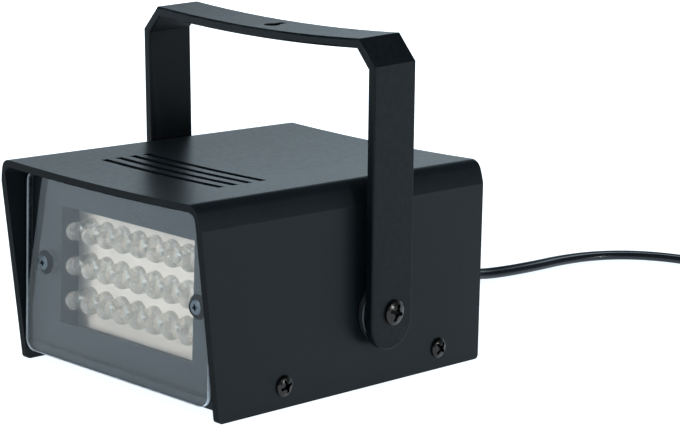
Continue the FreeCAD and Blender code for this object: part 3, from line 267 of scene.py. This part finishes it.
def painted_plate_edge(name, front, depth):
    """edge of the clear plate, a saw cut: a painted highlight, pale bluish white where it meets the front face, and
    painted shade, near black further in
    """
    m, nt, p, _ = new_mat(name)
    v = coords(nt)
    sep = nt.nodes.new("ShaderNodeSeparateXYZ")
    nt.links.new(v, sep.inputs[0])
    a = noise(nt, v, 900.0, 3.0)
    into = remap(nt, sep.outputs["Y"], front, front + depth, 0.0, 1.0)
    # pale bluish white at the front of the edge is the painted highlight, near black deeper in is the painted shade
    nt.links.new(ramp(nt, into, [(0.0, (0.80, 0.90, 0.98)), (0.42, (0.70, 0.80, 0.90)), (0.62, (0.05, 0.06, 0.07)), (1.0, (0.012, 0.015, 0.018))]), p.inputs["Base Color"])
    nt.links.new(remap(nt, a, 0.3, 0.7, 0.22, 0.36), p.inputs["Roughness"])
    p.inputs["Specular IOR Level"].default_value = 0.6
    bump(nt, p, [(a, 1.0)], 0.1, 0.00003)
    return m


PLATE_EDGE_PAINTED_LIGHT = painted_plate_edge("acrylic_edge_painted_highlight_and_shade", -0.0444 + SY, 0.0020)


# ------------------------------------------------------------------ mesh helpers
def link(ob):
    bpy.context.scene.collection.objects.link(ob)
    return ob


def apply_mods(ob):
    dg = bpy.context.evaluated_depsgraph_get()
    bpy.context.view_layer.update()
    me = bpy.data.meshes.new_from_object(ob.evaluated_get(dg))
    old = ob.data
    ob.modifiers.clear()
    ob.data = me
    if old.users == 0:
        bpy.data.meshes.remove(old)
    return ob


def set_mat(ob, *mats):
    ob.data.materials.clear()
    for m in mats:
        ob.data.materials.append(m)


def smooth(me, angle=32.0):
    for p in me.polygons:
        p.use_smooth = True
    me.set_sharp_from_angle(angle=math.radians(angle))


def weigh_normals(ob):
    """flat faces keep their own normal right up to the rounded edge"""
    wn = ob.modifiers.new("shade", "WEIGHTED_NORMAL")
    wn.mode, wn.weight, wn.keep_sharp = "FACE_AREA", 100, True
    return apply_mods(ob)


def polish(nodename, name, mat, width=0.00025, seg=2, angle=34.0, body="housing", flat=0.5, weigh=None, crease=None):
    """the CAD node's own shape with its tessellation cleaned and its sharp edges broken"""
    src = NODES[nodename]
    ob = link(bpy.data.objects.new(name, src.data.copy()))
    me = ob.data
    bm = bmesh.new()
    bm.from_mesh(me)
    bmesh.ops.remove_doubles(bm, verts=bm.verts, dist=1.5e-6)
    bmesh.ops.dissolve_limit(bm, angle_limit=math.radians(flat), verts=bm.verts, edges=bm.edges)
    if weigh:
        layer = bm.edges.layers.float.get("bevel_weight_edge") or bm.edges.layers.float.new("bevel_weight_edge")
        for e in bm.edges:
            if len(e.link_faces) == 2 and e.calc_face_angle() > math.radians(angle):
                e[layer] = weigh((e.verts[0].co + e.verts[1].co) / 2)
    bm.to_mesh(me)
    bm.free()
    set_mat(ob, mat)
    bv = ob.modifiers.new("edge", "BEVEL")
    bv.width, bv.segments, bv.limit_method, bv.angle_limit = width, seg, "WEIGHT" if weigh else "ANGLE", math.radians(angle)
    bv.miter_outer = "MITER_SHARP"
    bv.harden_normals = False
    bv.use_clamp_overlap = True
    apply_mods(ob)
    smooth(ob.data, 40.0)
    if crease:
        vs = ob.data.vertices
        for e in ob.data.edges:
            if crease(vs[e.vertices[0]].co, vs[e.vertices[1]].co):
                e.use_edge_sharp = True
    weigh_normals(ob)
    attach(ob, body)
    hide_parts(nodename)
    NODE_VIS[nodename] = ob
    return ob


NODE_VIS = {}


def keep_node(nodename, mat):
    set_mat(NODES[nodename], mat)


def hw_x(nodename):
    """where a screw's head starts, in mm from the middle"""
    return 43.55 if nodename == "pivot_screws" else 38.75


# ------------------------------------------------------------------ housing
def front_lip(c):
    """the wings' and visor's front edges are rounded more than the rest"""
    y, z = (c.y - SY) * 1000, c.z * 1000
    return 1.0 if abs(y + 51.2 - (55.0 - z) * 0.1473) < 0.35 and abs(c.x) > 0.0355 and z < 49.5 else 0.45


def side_crease(a, b):
    """the line along each side where the flat wall ends and the lean-in starts"""
    return all(abs(c.z - 0.0488) < 0.00012 and abs(c.x) > 0.03855 for c in (a, b))


cover = polish("top_cover", "cover", ABS_TOP, width=0.0008, seg=4, weigh=front_lip, crease=side_crease)
# front-facing faces along the wings' and visor's front edges get the darker copy as painted shade
cover.data.materials.append(ABS_FRONT_PAINTED_SHADE)
for f in cover.data.polygons:
    fy, fz = (f.center.y - SY) * 1000, f.center.z * 1000
    if f.normal.y < -0.6 and abs(fy + 51.2 - (55.0 - fz) * 0.1473) < 0.6:
        f.material_index = 1

polish("base_chassis", "tray", ABS_TRAY, width=0.00025)
polish("handle", "bow", ABS_BOW, width=0.0002, body="bow")
plate = polish("front_lens", "front_plate", ACRYLIC, width=0.00022, seg=2)
# the plate's edge faces, all but the screw holes, get the painted highlight and shade
plate.data.materials.append(PLATE_EDGE_PAINTED_LIGHT)
for f in plate.data.polygons:
    c = f.center
    hole = min(abs(c.x - 0.03035), abs(c.x + 0.02895)) < 0.003 and abs(c.z - 0.0279) < 0.003
    if abs(f.normal.y) < 0.85 and not hole:
        f.material_index = 1
for v_ in NODE_VIS["base_chassis"].data.vertices:       # the sill stands a hair behind the plate
    if v_.co.z < 0.0058 and abs(v_.co.y - SY + 0.0424) < 0.0004:
        v_.co.y += 0.0003
cover = NODE_VIS["top_cover"]
# the walls of the vent slots get the near-black copy as painted shade
cover.data.materials.append(SLOT_WALL_PAINTED_SHADE)
for f in cover.data.polygons:
    c = f.center
    if abs(c.x) < 0.0233 and -0.0310 < c.y - SY < -0.0130 and 0.0520 < c.z < 0.0549 and abs(f.normal.z) < 0.5:
        f.material_index = 1
polish("led_board", "led_board_white", WHITE_PCB, width=0.0001)
polish("pivot_washers", "pivot_spacers", NYLON, width=0.0002)
polish("speed_knob", "knob", KNOB, width=0.0002, body="knob")
polish("cord_grip", "boot", PVC_PLUG, width=0.0002)
for n, m in (("cover_screws", SCREW), ("pivot_screws", SCREW), ("lens_screws", PLATE_SCREW)):
    head = polish(n, n + "_v", m, width=0.00012)
    if n != "lens_screws":
        # the cross recess faces of the pivot and cover screws get the near-black metal as painted shade
        head.data.materials.append(RECESS_PAINTED_SHADE)
        spots = [(12.8, 20.3)] if n == "pivot_screws" else [(-21.35, 5.9), (36.0, 5.9)]
        reach, floor_x = (2.1, 44.3) if n == "pivot_screws" else (1.75, 39.5)
        for f in head.data.polygons:
            x, y, z = abs(f.center.x) * 1000, (f.center.y - SY) * 1000, f.center.z * 1000
            near = min(math.hypot(y - a, z - b) for a, b in spots) < reach
            if near and x > hw_x(n) and (abs(f.normal.x) < 0.5 or x < floor_x):
                f.material_index = 1
for n, m in (("board_screws", ZINC), ("driver_screws", ZINC), ("pivot_nuts", ZINC), ("pot_nut", ZINC), ("pot_washer", ZINC),
             ("led_leads", TIN), ("driver_board", TAN_PCB), ("film_capacitor", RED_BOX),
             ("filter_capacitor", SLEEVE), ("timing_capacitor", SLEEVE), ("bridge_rectifier", EPOXY), ("timer_chip", EPOXY),
             ("switching_transistor", EPOXY), ("fuse", EPOXY), ("resistors", COAT), ("led_wires", WIRE_R), ("pot_wires", WIRE_W),
             ("mains_wires", WIRE_B), ("speed_pot", CAN), ("pot_shaft", SHAFT)):
    keep_node(n, m)


# ------------------------------------------------------------------ LED lenses
def led_profile():
    """(radius, height above the board) of a 5 mm round LED with its flange, in mm"""
    pts = [(2.78, 0.02), (2.88, 0.10), (2.90, 0.25), (2.90, 0.80), (2.84, 0.94), (2.72, 1.0), (2.60, 1.0), (2.52, 1.04), (2.49, 1.14)]
    pts += [(2.49 - 0.05 * k / 5, 1.14 + (5.92 - 1.14) * k / 5) for k in range(1, 6)]
    for k in range(1, 10):
        a = math.radians(9.6 * k)
        pts.append((2.44 * math.cos(a), 5.92 + 2.44 * math.sin(a)))
    return pts


def led_lenses(name, mat):
    bm = bmesh.new()
    prof = led_profile()
    n = 36
    for j in range(3):
        for i in range(8):
            cx, cz = (i - 3.5) * 6.35, 27.5 + (1 - j) * 9.27
            rings = []
            for r_, h in prof:
                ring = []
                for k in range(n):
                    a = 2 * math.pi * k / n
                    x, z = r_ * math.cos(a), r_ * math.sin(a)
                    if h < 1.02 and x > 2.62:
                        x = 2.62                      # the flat on the cathode side
                    ring.append(bm.verts.new(((cx + x) / 1000, (-32.1 - h) / 1000 + SY, (cz + z) / 1000)))
                rings.append(ring)
            for r0, r1 in zip(rings, rings[1:]):
                for k in range(n):
                    bm.faces.new((r0[k], r0[(k + 1) % n], r1[(k + 1) % n], r1[k]))
            tip = bm.verts.new((cx / 1000, (-32.1 - 8.36) / 1000 + SY, cz / 1000))
            for k in range(n):
                bm.faces.new((rings[-1][k], rings[-1][(k + 1) % n], tip))
            bm.faces.new(rings[0])
    bmesh.ops.recalc_face_normals(bm, faces=bm.faces)
    me = bpy.data.meshes.new(name)
    bm.to_mesh(me)
    bm.free()
    ob = link(bpy.data.objects.new(name, me))
    set_mat(ob, mat)
    smooth(me, 50)
    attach(ob, "housing")
    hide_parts("led_lenses")
    return ob


led_lenses("led_domes", LED_CLEAR)
polish("plug_body", "plug", PVC_PLUG, width=0.0004)
polish("plug_pins", "plug_pins_v", NICKEL, width=0.0001)

# ------------------------------------------------------------------ mains lead
RAD = 0.0022
LEAD = [(-16.0, 74.6, 15.0), (-16.0, 82.4, 15.0), (-16.6, 91.4, 12.9), (-17.8, 101.4, 8.2), (-19.2, 111.9, 3.9), (-19.3, 122.4, 2.25),
        (-17.6, 133.0, 2.2), (-16.9, 145.5, 2.2), (-17.0, 158.0, 2.2), (-14.6, 171.0, 2.2), (-8.6, 181.6, 2.2), (0.4, 188.6, 2.2),
        (11.5, 192.2, 2.2), (22.5, 194.4, 2.2), (31.5, 195.5, 2.2)]
TAIL = [(57.94, 247.55, 10.8), (51.46, 253.8, 9.6), (43.92, 258.7, 7.9), (35.57, 262.07, 6.85), (27.75, 263.74, 6.85)]
CX, CY, MID, DIA = 40.0, 224.0, 26.0, 4.4


def coil_points():
    """round and round: two lanes on the floor, two on them, and the top ones, each change of lane spread over part of a turn"""
    out_r, in_r = MID + DIA / 2, MID - DIA / 2
    keys = [(0, out_r, 2.2), (318, out_r, 2.2), (362, in_r, 2.2), (638, in_r, 2.2), (676, in_r, 6.6), (958, in_r, 6.6), (1002, out_r, 6.6),
            (1262, out_r, 6.6), (1300, out_r, 11.0), (1345, in_r, 11.0), (1634, in_r, 11.0), (1682, out_r, 11.0), (1930, out_r, 11.0)]
    pts = []
    a = 0.0
    while a <= 1920.01:
        for (a0, r0, z0), (a1, r1, z1) in zip(keys, keys[1:]):
            if a0 <= a <= a1 + 1e-6:
                t = (a - a0) / (a1 - a0)
                t = t * t * (3 - 2 * t)
                r, z = r0 + (r1 - r0) * t, z0 + (z1 - z0) * t
                break
        # the spline runs a little inside its control polygon
        grow = 1.0 / (1.0 - (1.0 - math.cos(math.radians(10.0))) * 0.5)
        th = math.radians(a - 90.0)
        pts.append((CX + r * grow * math.cos(th), CY + r * grow * math.sin(th), z))
        a += 20.0
    return pts


def route():
    return [Vector((x / 1000, y / 1000 + SY, z / 1000)) for x, y, z in LEAD + coil_points() + TAIL]


def spline_points(points, steps):
    cu = bpy.data.curves.new("route", "CURVE")
    cu.dimensions = "3D"
    sp = cu.splines.new("NURBS")
    sp.points.add(len(points) - 1)
    for p, co in zip(sp.points, points):
        p.co = (*co, 1.0)
    sp.order_u = 3
    sp.use_endpoint_u = True
    cu.resolution_u = steps
    ob = link(bpy.data.objects.new("route", cu))
    bpy.context.view_layer.update()
    me = bpy.data.meshes.new_from_object(ob.evaluated_get(bpy.context.evaluated_depsgraph_get()))
    pts = [v.co.copy() for v in me.vertices]
    bpy.data.meshes.remove(me)
    bpy.data.objects.remove(ob)
    bpy.data.curves.remove(cu)
    return pts


def twin_profile(width=0.0044, thick=0.0024, n=14):
    """section of a flat two-core flex: rounded ends and a shallow valley between the cores"""
    r = thick / 2
    c = width / 2 - r
    pts = []
    for k in range(n + 1):
        a = math.radians(-90 + 180 * k / n)
        pts.append((c + r * math.cos(a), r * math.sin(a)))
    pts += [(0.0006, r - 0.00003), (0.0002, r - 0.00012), (-0.0002, r - 0.00012), (-0.0006, r - 0.00003)]
    for k in range(n + 1):
        a = math.radians(90 + 180 * k / n)
        pts.append((-c + r * math.cos(a), r * math.sin(a)))
    pts += [(-0.0006, -r + 0.00003), (-0.0002, -r + 0.00012), (0.0002, -r + 0.00012), (0.0006, -r + 0.00003)]
    return pts


def sweep(name, path, profile, angle_at, mat):
    """profile carried along path; angle_at(length) turns its wide side away from level"""
    bm = bmesh.new()
    rings = []
    lengths = [0.0]
    for a, b in zip(path, path[1:]):
        lengths.append(lengths[-1] + (b - a).length)
    for i, p in enumerate(path):
        t = (path[min(i + 1, len(path) - 1)] - path[max(i - 1, 0)]).normalized()
        side = t.cross(Vector((0, 0, 1))).normalized()
        up = side.cross(t).normalized()
        a = angle_at(lengths[i], lengths[-1])
        s = side * math.cos(a) + up * math.sin(a)
        w = up * math.cos(a) - side * math.sin(a)
        rings.append([bm.verts.new(p + s * x + w * y) for x, y in profile])
    n = len(profile)
    for r0, r1 in zip(rings, rings[1:]):
        for k in range(n):
            bm.faces.new((r0[k], r0[(k + 1) % n], r1[(k + 1) % n], r1[k]))
    bm.faces.new(list(reversed(rings[0])))
    bm.faces.new(rings[-1])
    bmesh.ops.recalc_face_normals(bm, faces=bm.faces)
    me = bpy.data.meshes.new(name)
    bm.to_mesh(me)
    bm.free()
    ob = link(bpy.data.objects.new(name, me))
    set_mat(ob, mat)
    smooth(me, 50)
    return ob, lengths[-1]


def ease(x, a, b):
    t = min(1.0, max(0.0, (x - a) / (b - a)))
    return t * t * (3 - 2 * t)


path = spline_points(route(), 8)
ON_EDGE = math.radians(88)


def lay_angle(s, total):
    # leaning a little from the boot along the floor, on edge in the coil, flat again at the plug
    lean = math.radians(22) - math.radians(16) * ease(s, 0.02, 0.115)
    return -(lean + (ON_EDGE - lean) * ease(s, 0.135, 0.165) - ON_EDGE * ease(s, total - 0.05, total - 0.015))


cord, cord_len = sweep("mains_lead", path, twin_profile(), lay_angle, PVC)
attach(cord, "housing")
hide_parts("power_cord", "cord_coil", "cord_tail")
print("lead length", round(cord_len, 4))

# ------------------------------------------------------------------ floor, light, camera
me = bpy.data.meshes.new("floor")
bm = bmesh.new()
bmesh.ops.create_grid(bm, x_segments=4, y_segments=4, size=4.0)
bm.to_mesh(me)
bm.free()
floor = link(bpy.data.objects.new("floor", me))
m, nt, p, _ = new_mat("pale_floor")
v = coords(nt)
nt.links.new(ramp(nt, noise(nt, v, 9.0, 3.0), [(0.3, (0.44, 0.46, 0.475)), (0.7, (0.46, 0.48, 0.495))]), p.inputs["Base Color"])
p.inputs["Roughness"].default_value = 0.8
p.inputs["Specular IOR Level"].default_value = 0.1
# the floor glows: painted light, weakest within 0.16 m of the middle and rising out to 0.60 m
length = node(nt, "ShaderNodeVectorMath", operation="LENGTH")
nt.links.new(v, length.inputs[0])
p.inputs["Emission Color"].default_value = (0.86, 0.935, 1.0, 1)
nt.links.new(remap(nt, length.outputs["Value"], 0.16, 0.60, 1.02, 1.45), p.inputs["Emission Strength"])
set_mat(floor, m)

world = bpy.data.worlds.new("studio")
bpy.context.scene.world = world
world.use_nodes = True
wt = world.node_tree
bg = wt.nodes["Background"]
wc = wt.nodes.new("ShaderNodeTexCoord")
sep = wt.nodes.new("ShaderNodeSeparateXYZ")
wt.links.new(wc.outputs["Generated"], sep.inputs[0])
sky = ramp(wt, sep.outputs["Z"], [(0.0, (0.62, 0.76, 0.84)), (0.22, (0.62, 0.76, 0.84)), (0.34, (0.38, 0.46, 0.51)), (0.46, (0.09, 0.11, 0.125)), (0.6, (0.03, 0.036, 0.041)), (1.0, (0.025, 0.03, 0.034))])
side = remap(wt, sep.outputs["X"], 0.10, 0.52, 1.0, 0.16)
dim = wt.nodes.new("ShaderNodeVectorMath")
dim.operation = "SCALE"
wt.links.new(sky, dim.inputs[0])
front = remap(wt, sep.outputs["Y"], -0.80, -0.25, 0.5, 1.0)
both = wt.nodes.new("ShaderNodeMath")
both.operation = "MULTIPLY"
wt.links.new(side, both.inputs[0])
wt.links.new(front, both.inputs[1])
wt.links.new(both.outputs[0], dim.inputs["Scale"])
wt.links.new(dim.outputs["Vector"], bg.inputs[0])
bg.inputs[1].default_value = 1.75


def area(name, loc, target, size, size_y, power, colour=(1, 1, 1)):
    ld = bpy.data.lights.new(name, "AREA")
    ld.shape = "RECTANGLE"
    ld.size, ld.size_y, ld.energy, ld.color = size, size_y, power, colour
    ob = link(bpy.data.objects.new(name, ld))
    ob.location = loc
    ob.rotation_euler = (Vector(target) - Vector(loc)).to_track_quat("-Z", "Y").to_euler()
    return ob


over = area("overhead", (0.0, -0.10, 1.15), (0, 0.0, 0.0), 1.3, 1.3, 10.0, (0.96, 0.99, 1.0))
over.visible_glossy = False
area("key", (-0.16, -0.86, 0.32), (0, 0, 0.03), 0.18, 0.14, 3.0, (1.0, 0.98, 0.95))
area("glint", (1.12, 0.36, 0.27), (0, 0, 0.03), 0.10, 0.10, 3.2, (1.0, 1.0, 1.0))

cam_data = bpy.data.cameras.new("view")
cam = link(bpy.data.objects.new("view", cam_data))
az, el, roll, dist, f = math.radians(43.999), math.radians(11.862), math.radians(2.029), 0.61037, 2206.977
T = Vector((0.0, 0.03653 + SY, 0.035939))
d = Vector((math.cos(el) * math.sin(az), -math.cos(el) * math.cos(az), math.sin(el)))
fw = -d
r = fw.cross(Vector((0, 0, 1))).normalized()
u = r.cross(fw)
rr = r * math.cos(roll) + u * math.sin(roll)
uu = u * math.cos(roll) - r * math.sin(roll)
cam.matrix_world = Matrix(((rr.x, uu.x, d.x, 0), (rr.y, uu.y, d.y, 0), (rr.z, uu.z, d.z, 0), (0, 0, 0, 1)))
cam.matrix_world.translation = T + d * dist
cam_data.sensor_fit = "HORIZONTAL"
cam_data.sensor_width = 36.0
cam_data.lens = f * 36.0 / 680.0
cam_data.clip_start, cam_data.clip_end = 0.01, 20.0
bpy.context.scene.camera = cam
bpy.context.scene.view_settings.view_transform = "Standard"
bpy.context.scene.view_settings.look = "None"
